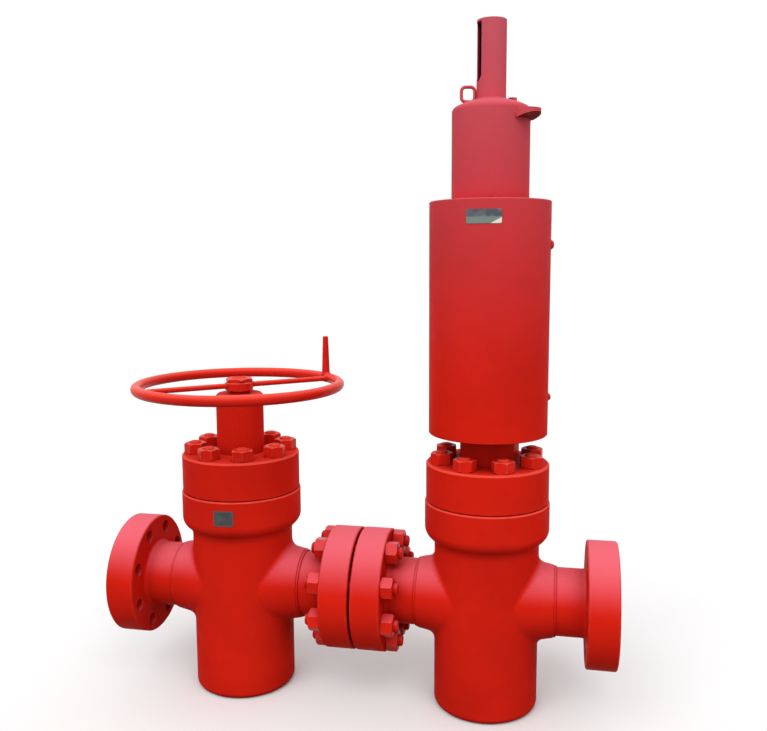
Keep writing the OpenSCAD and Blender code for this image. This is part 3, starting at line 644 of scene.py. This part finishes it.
def bent_plate(name, axis, radius, turn, z, size, finishes):
    """Nameplate bent round an upright cylinder: a narrow rim with round corners, an etched field that
    lies a little lower, and a rivet in each corner."""
    plates = bpy.context.scene.manifold_plates
    work = bmesh.new()
    width, height = size
    thick, rim = plates.thickness, plates.rim
    first, last = rim / width, 1 - rim / width
    columns = [first + (last - first) * i / PLATE_COLUMNS for i in range(PLATE_COLUMNS + 1)]
    columns = [0] + columns + [1]
    rows = [rim / height + (1 - 2 * rim / height) * j / PLATE_ROWS for j in range(PLATE_ROWS + 1)]
    rows = [0] + rows + [1]

    def at(u, v, depth):
        a = turn + (u - 0.5) * width / radius
        r = radius + depth
        return Vector((axis.x + r * math.sin(a), axis.y - r * math.cos(a), z + (v - 0.5) * height))

    front = [[work.verts.new(at(u, v, thick)) for u in columns] for v in rows]
    back = [[work.verts.new(at(u, v, 0)) for u in columns] for v in rows]
    right, top = len(columns) - 1, len(rows) - 1
    field = []
    for j in range(top):
        for i in range(right):
            face = work.faces.new((front[j][i], front[j][i + 1], front[j + 1][i + 1], front[j + 1][i]))
            work.faces.new((back[j][i + 1], back[j][i], back[j + 1][i], back[j + 1][i + 1]))
            if 0 < i < right - 1 and 0 < j < top - 1:
                field.append(face)
                face.material_index = 1
    edge = [(0, i) for i in range(right)] + [(j, right) for j in range(top)]
    edge += [(top, i) for i in range(right, 0, -1)] + [(j, 0) for j in range(top, 0, -1)]
    for (j, i), (m, n) in zip(edge, edge[1:] + edge[:1]):
        work.faces.new((front[j][i], back[j][i], back[m][n], front[m][n]))
    bmesh.ops.inset_region(work, faces=field, thickness=plates.recess_wall, depth=-plates.recess)
    corners = [work.edges.get((front[j][i], back[j][i])) for j in (0, top) for i in (0, right)]
    bmesh.ops.bevel(work, geom=corners, offset=plates.corner, segments=PLATE_CORNER_STEPS, profile=0.5,
                    affect="EDGES")
    inset = RIVET_INSET_SHARE * rim
    for u in (inset / width, 1 - inset / width):
        for v in (inset / height, 1 - inset / height):
            seat = at(u, v, thick)
            rivet_head(work, seat, (at(u, v, 2 * thick) - seat).normalized(), plates.rivet)
    return mesh_piece(name, "manifold", work, finishes)


class MANIFOLD_OT_paint_forgings(bpy.types.Operator):
    """Paints the forged valve bodies"""

    bl_idname = "manifold.paint_forgings"
    bl_label = "Paint forged bodies"

    def execute(self, context):
        paint = context.scene.manifold_paint
        centre, half = middle(FORGINGS[0])
        # the bonnet flange, the upper part of the body, takes a warmer painted highlight
        dress(FORGINGS, enamel("alkyd_enamel_on_forged_body", 34, 0.35, 0.52, paint.sky_reflection,
                               warm_highlight_above=centre.z + WARM_HIGHLIGHT_SHARE * half.z))
        return {"FINISHED"}


class MANIFOLD_OT_paint_flanges(bpy.types.Operator):
    """Paints the flanges and leaves the seal faces at both ends and the bores bare"""

    bl_idname = "manifold.paint_flanges"
    bl_label = "Paint flanges"

    def execute(self, context):
        centre, half = middle("manual_end_flange")
        dress(FLANGES, flange_enamel(half.x - centre.x, centre.z))
        return {"FINISHED"}


class MANIFOLD_OT_paint_turned(bpy.types.Operator):
    """Paints the turned bonnets, the bearing column with its stem and the actuator neck"""

    bl_idname = "manifold.paint_turned"
    bl_label = "Paint bonnets and column"

    def execute(self, context):
        paint = context.scene.manifold_paint
        # the upward faces of bonnets and column take a warm painted highlight
        dress(TURNED, enamel("alkyd_enamel_on_turned_bonnet", 26, 0.10, 0.50, paint.warm_highlight, level=0.3))
        return {"FINISHED"}


class MANIFOLD_OT_paint_actuator(bpy.types.Operator):
    """Paints the actuator's housings, its fittings and the stem protector"""

    bl_idname = "manifold.paint_actuator"
    bl_label = "Paint actuator"

    def execute(self, context):
        paint = context.scene.manifold_paint
        skin = context.scene.manifold_marks.tube_skin
        # the actuator is painted paler towards its top, a painted reflection of the sky
        dress(ACTUATOR, enamel("alkyd_enamel_on_rolled_cylinder", 60, 0.16, 0.50, paint.upper_reflection,
                               rising_reflection=True))
        # the fittings' undersides take painted shade
        dress(FITTINGS, enamel("alkyd_enamel_on_cut_plate", 12, 0.12, 0.50, paint.upper_reflection, rising_reflection=True,
                               rub_and_highlight=0.2, under=0.9))
        tube, half = middle("stem_protector")
        dress(("stem_protector",), tube_enamel(tube.x, half.y - skin, tube.z + half.z - skin))
        return {"FINISHED"}


class MANIFOLD_OT_paint_handwheel(bpy.types.Operator):
    """Paints the handwheel's rim, spokes, hub and handle"""

    bl_idname = "manifold.paint_handwheel"
    bl_label = "Paint handwheel"

    def execute(self, context):
        paint = context.scene.manifold_paint
        # the handwheel's upward faces take a warm painted highlight
        dress(WHEEL, enamel("alkyd_enamel_on_bent_bar", 10, 0.10, 0.30, paint.warm_highlight, gloss=0.06))
        return {"FINISHED"}


class MANIFOLD_OT_paint_nuts(bpy.types.Operator):
    """Paints the nuts"""

    bl_idname = "manifold.paint_nuts"
    bl_label = "Paint nuts"

    def execute(self, context):
        paint = context.scene.manifold_paint
        # the nuts' upward faces take a painted highlight: warm on the bonnet nuts, pale pink on the joint
        # nuts
        dress(UPRIGHT_NUTS, enamel("alkyd_enamel_on_forged_nuts", 9, 0.14, 0.32, paint.warm_highlight, level=0.35,
                                   gloss=0.06))
        dress(JOINT_NUTS, enamel("alkyd_enamel_on_sheltered_nuts", 9, 0.14, 0.32, paint.sky_reflection, share=0.55,
                                 gloss=0.06))
        return {"FINISHED"}


class MANIFOLD_OT_add_studs(bpy.types.Operator):
    """Cuts threads on the studs of the bonnets and of the flange joint"""

    bl_idname = "manifold.add_studs"
    bl_label = "Add threaded studs"

    def execute(self, context):
        studs = context.scene.manifold_studs
        paint = context.scene.manifold_paint
        # the threads' upward faces take a painted highlight: warm on the bonnet studs, pale pink on the joint
        # studs
        warm_highlight = enamel("alkyd_enamel_on_rolled_thread", 8, 0.05, 0.42, paint.warm_highlight, level=0.35, rub_and_highlight=0.0)
        sheltered = enamel("alkyd_enamel_on_sheltered_thread", 8, 0.05, 0.42, paint.sky_reflection,
                           share=0.55, rub_and_highlight=0.0)
        upright, level = Vector((0, 0, 1)), Vector((1, 0, 0))
        half_step = math.pi / BOLTS
        for name, node, axis, size, finish in (
                ("manual_bonnet_threaded_studs", "manual_bonnet_studs", upright, studs.bonnet, warm_highlight),
                ("actuated_bonnet_threaded_studs", "actuated_bonnet_studs", upright, studs.bonnet, warm_highlight),
                ("joint_threaded_studs", "joint_studs", level, studs.joint, sheltered)):
            centre, half = middle(node)
            long = 2 * half.dot(axis)
            ring = (half.y - size / 2) / math.cos(half_step)
            side = Vector((0, 1, 0))
            up = axis.cross(side)
            work = bmesh.new()
            for i in range(BOLTS):
                a = (2 * i + 1) * half_step
                foot = centre + ring * (math.cos(a) * side + math.sin(a) * up) - axis * long / 2
                threaded_stud(work, foot, axis, long, size / 2, studs)
            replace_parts(mesh_piece(name, "manifold", work, [finish]), node)
        return {"FINISHED"}


class MANIFOLD_OT_add_welds(bpy.types.Operator):
    """Adds the weld beads of the flange necks, the handwheel and the actuator's fittings"""

    bl_idname = "manifold.add_welds"
    bl_label = "Add weld beads"

    def execute(self, context):
        welds = context.scene.manifold_welds
        paint = context.scene.manifold_paint
        finish = enamel("alkyd_enamel_on_weld_metal", 6, 0.10, 0.50, paint.upper_reflection, rising_reflection=True, rub_and_highlight=0.0)
        self.neck_seams(welds, finish)
        self.actuator_seams(welds, finish)
        self.handwheel_seams(welds, finish)
        return {"FINISHED"}

    def neck_seams(self, welds, finish):
        flow_z = middle("manual_end_flange")[0].z
        work = bmesh.new()
        for body in FORGINGS:
            centre, half = middle(body)
            for side in (-1, 1):
                # the hubs reach further along the flow than the bonnet flange
                seam = (centre.x + side * (half.x + NECK_LIFT_SHARE * welds.neck_bead), 0, flow_z)
                path = circle(seam, (1, 0, 0), welds.neck / 2, steps=240)
                weld_bead(work, path, welds.neck_bead, welds.neck_ripple)
        mesh_piece("neck_weld_beads", "manifold", work, [finish])

    def actuator_seams(self, welds, finish):
        work = bmesh.new()
        bead, ripple = welds.fitting_bead, welds.ripple
        housing, half = middle("upper_housing")
        tube, tube_half = middle("stem_protector")
        foot_z = tube.z - tube_half.z
        seam = circle((housing.x, 0, housing.z - half.z), (0, 0, 1), half.x, steps=180)
        weld_bead(work, seam, HOUSING_BEAD_SHARE * bead, ripple)
        weld_bead(work, circle((tube.x, 0, foot_z), (0, 0, 1), tube_half.x, steps=90), bead, ripple)
        weld_bead(work, self.lug_seam(welds, housing, half.x), bead, ripple, closed=False)
        link = middle("lifting_link")[0]
        out = Vector((-math.cos(welds.link_turn), -math.sin(welds.link_turn), 0))
        across = out.cross(Vector((0, 0, 1)))
        reach = (link - tube).to_2d().length
        dish_z = foot_z - math.sqrt(welds.dish ** 2 - tube_half.x ** 2)
        for side in (-1, 1):
            path = []
            for i in range(LINK_STEPS + 1):
                r = reach + (2 * i / LINK_STEPS - 1) * welds.link_foot
                top = Vector((housing.x, 0, dish_z + math.sqrt(welds.dish ** 2 - r ** 2)))
                path.append(top + out * r + across * side * welds.link_side)
            weld_bead(work, path, LINK_BEAD_SHARE * bead, ripple, closed=False)
        mesh_piece("actuator_weld_beads", "manifold", work, [finish])

    def lug_seam(self, welds, housing, radius):
        """Path along the lower edge of the lifting lug's root and up its two ends."""
        low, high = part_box("lifting_lug")
        rise = Vector((0, 0, high.z - low.z))
        path = []
        for i in range(LUG_STEPS + 1):
            a = -welds.lug_turn + welds.lug_span * (2 * i / LUG_STEPS - 1)
            path.append(Vector((housing.x + radius * math.cos(a), radius * math.sin(a), low.z)))
        down = [path[0] + rise * share for share in LUG_RISE_SHARES]
        up = [path[-1] + rise * share for share in reversed(LUG_RISE_SHARES)]
        return down + path + up

    def handwheel_seams(self, welds, finish):
        rim, rim_half = middle("handwheel_rim")
        hub_r = middle("handwheel_hub")[1].x
        spoke_r = middle("handwheel_spokes")[1].z
        bar = rim_half.z
        rim_r = rim_half.x - bar
        work = bmesh.new()
        for turn in (welds.spoke_turn, welds.spoke_turn + math.pi):
            out = Vector((math.cos(turn), math.sin(turn), 0))
            for reach in (hub_r, rim_r - bar):
                path = circle(rim + out * reach, out, spoke_r, steps=60)
                weld_bead(work, path, welds.wheel_bead, welds.ripple)
        out = Vector((math.cos(welds.handle_turn), math.sin(welds.handle_turn), 0))
        path = []
        for point in circle(rim + out * rim_r, (0, 0, 1), welds.handle_foot / 2 - welds.handle_lap, steps=60):
            off = (point - rim).to_2d().length - rim_r
            path.append(point + Vector((0, 0, math.sqrt(bar ** 2 - off ** 2))))
        weld_bead(work, path, welds.wheel_bead, welds.ripple)
        mesh_piece("handwheel_weld_beads", "handwheel", work, [finish])


class MANIFOLD_OT_add_nameplates(bpy.types.Operator):
    """Adds the two bare nameplates"""

    bl_idname = "manifold.add_nameplates"
    bl_label = "Add nameplates"

    def execute(self, context):
        plates = context.scene.manifold_plates
        rim = brushed("brushed_stainless_plate", plates.steel)
        dull = etched_field("acid_etched_stainless_field", plates.etched, plates.worn)
        # the actuator's plate takes a painted glint in its lower right corner
        rubbed = etched_field("rubbed_stainless_field_with_painted_glint", plates.slate, plates.polished, rubbed=True)
        body, half = middle("manual_valve_body")
        level = body.z + half.z - plates.valve_drop
        bent_plate("hand_valve_nameplate", body, half.y, plates.valve_turn, level,
                   (plates.valve_width, plates.valve_height), [rim, dull])
        tank, half = middle("spring_cylinder")
        level = tank.z + half.z - plates.actuator_drop
        bent_plate("actuator_nameplate", tank, half.y, plates.actuator_turn, level,
                   (plates.actuator_width, plates.actuator_height), [rubbed, rubbed])
        return {"FINISHED"}


class MANIFOLD_OT_build_stage(bpy.types.Operator):
    """Builds the floor, the lights and the camera"""

    bl_idname = "manifold.build_stage"
    bl_label = "Build stage"

    def execute(self, context):
        stage = context.scene.manifold_stage
        context.scene.view_settings.view_transform = "Standard"
        self.floor(context.scene, stage)
        self.world(context.scene, stage)
        self.light(context.scene, stage, "left_front_light", stage.left_turn, stage.left_power)
        self.light(context.scene, stage, "right_front_light", stage.right_turn, stage.right_power)
        self.camera(context.scene, stage)
        return {"FINISHED"}

    def seen(self, tree):
        """One where the ray comes from the camera, a reflection or a refraction, else zero."""
        ray = add(tree, "ShaderNodeLightPath").outputs
        seen = ray["Is Camera Ray"]
        for kind in ("Is Glossy Ray", "Is Transmission Ray"):
            seen = add(tree, "ShaderNodeMath", {0: seen, 1: ray[kind]}, operation="MAXIMUM").outputs["Value"]
        return seen

    def floor_paint(self, stage):
        """Matt floor paint: white where it is seen, with the soft shadow, and a plain grey to the light."""
        made, tree = material("matt_floor_paint")
        place = add(tree, "ShaderNodeTexCoord").outputs["Object"]
        grain = add(tree, "ShaderNodeTexNoise", {"Vector": place, "Scale": 1 / stage.grain, "Detail": 3.0})
        bump = add(tree, "ShaderNodeBump", {"Height": grain.outputs["Fac"], "Strength": 0.05,
                                            "Distance": stage.grain_depth})
        lit = add(tree, "ShaderNodeBsdfDiffuse", {"Color": rgba(stage.floor),
                                                  "Normal": bump.outputs["Normal"]})
        grey = add(tree, "ShaderNodeBsdfDiffuse", {"Color": rgba(stage.bounce)})
        mix = add(tree, "ShaderNodeMixShader", {0: self.seen(tree), 1: grey.outputs["BSDF"],
                                                2: lit.outputs["BSDF"]})
        add(tree, "ShaderNodeOutputMaterial", {"Surface": mix.outputs["Shader"]})
        return made

    def floor(self, scene, stage):
        work = bmesh.new()
        bmesh.ops.create_circle(work, cap_ends=True, segments=96, radius=FLOOR_RADIUS)
        mesh = bpy.data.meshes.new("studio_floor")
        work.to_mesh(mesh)
        work.free()
        mesh.materials.append(self.floor_paint(stage))
        floor = bpy.data.objects.new("studio_floor", mesh)
        scene.collection.objects.link(floor)

    def world(self, scene, stage):
        world = bpy.data.worlds.new("studio_air")
        scene.world = world
        world.use_nodes = True
        tree = world.node_tree
        tree.nodes.clear()
        air = add(tree, "ShaderNodeBackground", {"Color": (1, 1, 1, 1), "Strength": stage.air})
        add(tree, "ShaderNodeOutputWorld", {"Surface": air.outputs["Background"]})

    def light(self, scene, stage, name, turn, power):
        """One of the two wide lights from the front sides, which keep the round walls even."""
        lamp = bpy.data.lights.new(name, "SUN")
        lamp.energy = power
        lamp.angle = stage.spread
        level = math.cos(stage.rise)
        out = Vector((math.sin(turn) * level, -math.cos(turn) * level, math.sin(stage.rise)))
        holder = bpy.data.objects.new(name, lamp)
        scene.collection.objects.link(holder)
        facing = out.to_track_quat("Z", "Y").to_matrix().to_4x4()
        holder.matrix_world = Matrix.Translation(out * LIGHT_DISTANCE) @ facing

    def camera(self, scene, stage):
        turn, tilt, lean = stage.yaw, stage.pitch, stage.roll
        ahead = Vector((-math.sin(turn) * math.cos(tilt), math.cos(turn) * math.cos(tilt), -math.sin(tilt)))
        level = Vector((math.cos(turn), math.sin(turn), 0))
        upright = level.cross(ahead)
        right = math.cos(lean) * level + math.sin(lean) * upright
        up = math.cos(lean) * upright - math.sin(lean) * level
        lens = bpy.data.cameras.new("photo_camera")
        lens.sensor_fit = "HORIZONTAL"
        lens.sensor_width = stage.sensor
        lens.lens = stage.lens
        lens.clip_end = CAMERA_REACH
        camera = bpy.data.objects.new("photo_camera", lens)
        scene.collection.objects.link(camera)
        facing = Matrix((right, up, -ahead)).transposed().to_4x4()
        camera.matrix_world = Matrix.Translation(Vector(stage.eye)) @ facing
        scene.camera = camera


OPERATORS = (MANIFOLD_OT_paint_forgings, MANIFOLD_OT_paint_flanges, MANIFOLD_OT_paint_turned,
             MANIFOLD_OT_paint_actuator, MANIFOLD_OT_paint_handwheel, MANIFOLD_OT_paint_nuts,
             MANIFOLD_OT_add_studs, MANIFOLD_OT_add_welds, MANIFOLD_OT_add_nameplates,
             MANIFOLD_OT_build_stage)
GROUPS = {"manifold_paint": ManifoldPaint, "manifold_marks": ManifoldMarks, "manifold_studs": ManifoldStuds,
          "manifold_welds": ManifoldWelds, "manifold_plates": ManifoldPlates, "manifold_stage": ManifoldStage}


class MANIFOLD_PT_panel(bpy.types.Panel):
    """Lists the manifold's settings and steps"""

    bl_idname = "MANIFOLD_PT_panel"
    bl_label = "High Pressure Manifold"
    bl_space_type = "VIEW_3D"
    bl_region_type = "UI"
    bl_category = "Manifold"

    def draw(self, context):
        for group in GROUPS:
            settings = getattr(context.scene, group)
            box = self.layout.box()
            for name in settings.__annotations__:
                box.prop(settings, name)
        for operator in OPERATORS:
            self.layout.operator(operator.bl_idname)


def register():
    for name, group in GROUPS.items():
        bpy.utils.register_class(group)
        setattr(bpy.types.Scene, name, PointerProperty(type=group))
    for operator in OPERATORS:
        bpy.utils.register_class(operator)
    bpy.utils.register_class(MANIFOLD_PT_panel)


def unregister():
    bpy.utils.unregister_class(MANIFOLD_PT_panel)
    for operator in reversed(OPERATORS):
        bpy.utils.unregister_class(operator)
    for name, group in reversed(GROUPS.items()):
        delattr(bpy.types.Scene, name)
        bpy.utils.unregister_class(group)


def main():
    register()
    bpy.ops.manifold.paint_forgings()
    bpy.ops.manifold.paint_flanges()
    bpy.ops.manifold.paint_turned()
    bpy.ops.manifold.paint_actuator()
    bpy.ops.manifold.paint_handwheel()
    bpy.ops.manifold.paint_nuts()
    bpy.ops.manifold.add_studs()
    bpy.ops.manifold.add_welds()
    bpy.ops.manifold.add_nameplates()
    bpy.ops.manifold.build_stage()


if __name__ == "__main__":
    main()
